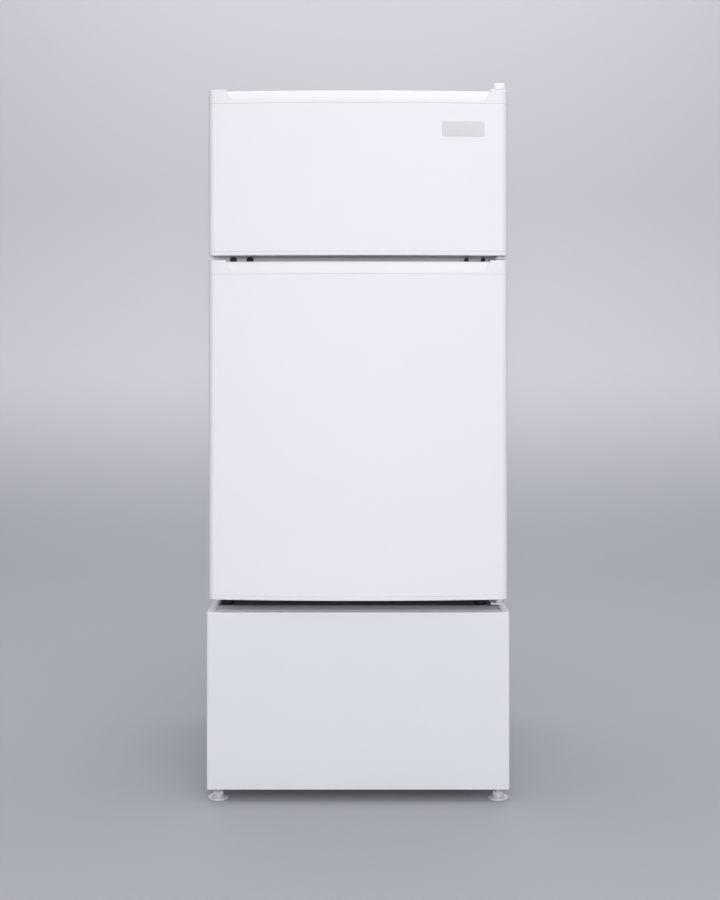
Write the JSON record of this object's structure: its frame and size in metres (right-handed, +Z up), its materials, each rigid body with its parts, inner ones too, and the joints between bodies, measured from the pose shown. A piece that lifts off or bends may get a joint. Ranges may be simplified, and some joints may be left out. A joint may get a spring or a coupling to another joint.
{
  "type": "fridge freezer",
  "caption": "White top-freezer refrigerator with right-hand hinges and finger grips in the door caps, on a steel pedestal with levelling feet.",
  "frame": {"origin": "on the floor, under the middle of the whole, at the bottom centre of its bounding box", "axes": "+Z up, -Y towards the person who opens the doors, +X to that person's right, the hinge side"},
  "size_m": [0.497, 0.524, 1.181],
  "materials": {
    "cabinet_steel": "satin",
    "rail_steel": "satin",
    "zinc_steel": "satin",
    "dark_plug": "matte",
    "liner_plastic": "gloss",
    "foam": "matte",
    "black_plastic": "matte",
    "hinge_steel": "satin",
    "nylon": "satin",
    "screw_steel": "satin",
    "cover_plastic": "gloss",
    "shelf_glass": "polished",
    "inside_plastic": "satin",
    "clear_plastic": "gloss",
    "bulb_glass": "gloss",
    "compressor_paint": "gloss",
    "mount_rubber": "matte",
    "condenser_paint": "satin",
    "copper": "satin",
    "cold_plate": "satin",
    "pedestal_steel": "satin",
    "deck_steel": "satin",
    "bracket_steel": "satin",
    "bright_zinc": "polished",
    "door_steel": "gloss",
    "cap_plastic": "gloss",
    "gasket_vinyl": "matte",
    "plate_metal": "satin"
  },
  "bodies": {
    "cabinet": {"cabinet_wrapper": "cabinet_steel", "cabinet_back_panel": "zinc_steel", "cabinet_base_pan": "zinc_steel", "crossrail": "rail_steel", "hinge_hole_plugs": "dark_plug", "freezer_liner": "liner_plastic", "fridge_liner": "liner_plastic", "insulation_foam": "foam", "cabinet_feet": "black_plastic", "top_hinge_bracket": "hinge_steel", "bottom_hinge_bracket": "hinge_steel", "middle_hinge_bracket": "hinge_steel", "hinge_bushes": "nylon", "hinge_screws": "screw_steel", "top_hinge_cover": "cover_plastic", "crisper_cover": "shelf_glass", "fridge_shelf_lower": "shelf_glass", "fridge_shelf_upper": "shelf_glass", "freezer_shelf": "inside_plastic", "thermostat_housing": "inside_plastic", "lamp_lens": "clear_plastic", "lamp_bulb": "bulb_glass", "compressor": "compressor_paint", "compressor_grommets": "mount_rubber", "compressor_relay_cover": "black_plastic", "drip_pan": "black_plastic", "condenser_tube": "condenser_paint", "condenser_wires": "condenser_paint", "filter_drier": "copper", "discharge_pipe": "copper", "suction_pipe": "copper", "evaporator": "cold_plate", "cord_gland": "black_plastic", "pedestal_shell": "pedestal_steel", "pedestal_deck": "deck_steel", "pedestal_back_panel": "zinc_steel", "pedestal_foot_brackets": "bracket_steel"},
    "freezer_door": {"freezer_door_skin": "door_steel", "freezer_door_top_cap": "cap_plastic", "freezer_door_bottom_cap": "cap_plastic", "freezer_door_liner": "liner_plastic", "freezer_door_foam": "foam", "freezer_door_gasket": "gasket_vinyl", "freezer_door_rack": "clear_plastic", "blank_nameplate": "plate_metal"},
    "fridge_door": {"fridge_door_skin": "door_steel", "fridge_door_top_cap": "cap_plastic", "fridge_door_bottom_cap": "cap_plastic", "fridge_door_liner": "liner_plastic", "fridge_door_foam": "foam", "fridge_door_gasket": "gasket_vinyl", "fridge_door_bottle_rack": "clear_plastic", "fridge_door_upper_rack": "clear_plastic"},
    "crisper": {"crisper_drawer": "clear_plastic"},
    "knob": {"thermostat_knob": "inside_plastic"},
    "switch": {"door_switch_plunger": "inside_plastic"},
    "foot_front_left": {"pedestal_foot_front_left": "bright_zinc"},
    "foot_front_right": {"pedestal_foot_front_right": "bright_zinc"},
    "foot_rear_left": {"pedestal_foot_rear_left": "bright_zinc"},
    "foot_rear_right": {"pedestal_foot_rear_right": "bright_zinc"}
  },
  "joints": [
    {"name": "freezer_door_hinge", "type": "hinge", "parent": "cabinet", "child": "freezer_door", "pos_m": [0.234, -0.23, 1.03], "axis": [0, 0, 1], "range_deg": [0, 125]},
    {"name": "fridge_door_hinge", "type": "hinge", "parent": "cabinet", "child": "fridge_door", "pos_m": [0.234, -0.23, 0.61], "axis": [0, 0, 1], "range_deg": [0, 125]},
    {"name": "crisper_slide", "type": "slide", "parent": "cabinet", "child": "crisper", "axis": [0, -1, 0], "range_m": [0, 0.12]},
    {"name": "thermostat_turn", "type": "hinge", "parent": "cabinet", "child": "knob", "pos_m": [0.172, -0.16, 0.84505], "axis": [0, 1, 0], "range_deg": [0, 270]},
    {"name": "door_switch_travel", "type": "slide", "parent": "cabinet", "child": "switch", "axis": [0, -1, 0], "range_m": [0, 0.006]},
    {"name": "front_left_foot_height", "type": "slide", "parent": "cabinet", "child": "foot_front_left", "axis": [0, 0, -1], "range_m": [0, 0.012]},
    {"name": "front_right_foot_height", "type": "slide", "parent": "cabinet", "child": "foot_front_right", "axis": [0, 0, -1], "range_m": [0, 0.012]},
    {"name": "rear_left_foot_height", "type": "slide", "parent": "cabinet", "child": "foot_rear_left", "axis": [0, 0, -1], "range_m": [0, 0.012]},
    {"name": "rear_right_foot_height", "type": "slide", "parent": "cabinet", "child": "foot_rear_right", "axis": [0, 0, -1], "range_m": [0, 0.012]}
  ],
  "couplings": [
    {"joint": "crisper_slide", "follows": "fridge_door_hinge", "m_per_rad": 0.055},
    {"joint": "door_switch_travel", "follows": "fridge_door_hinge", "m_per_rad": 0.00275}
  ]
}
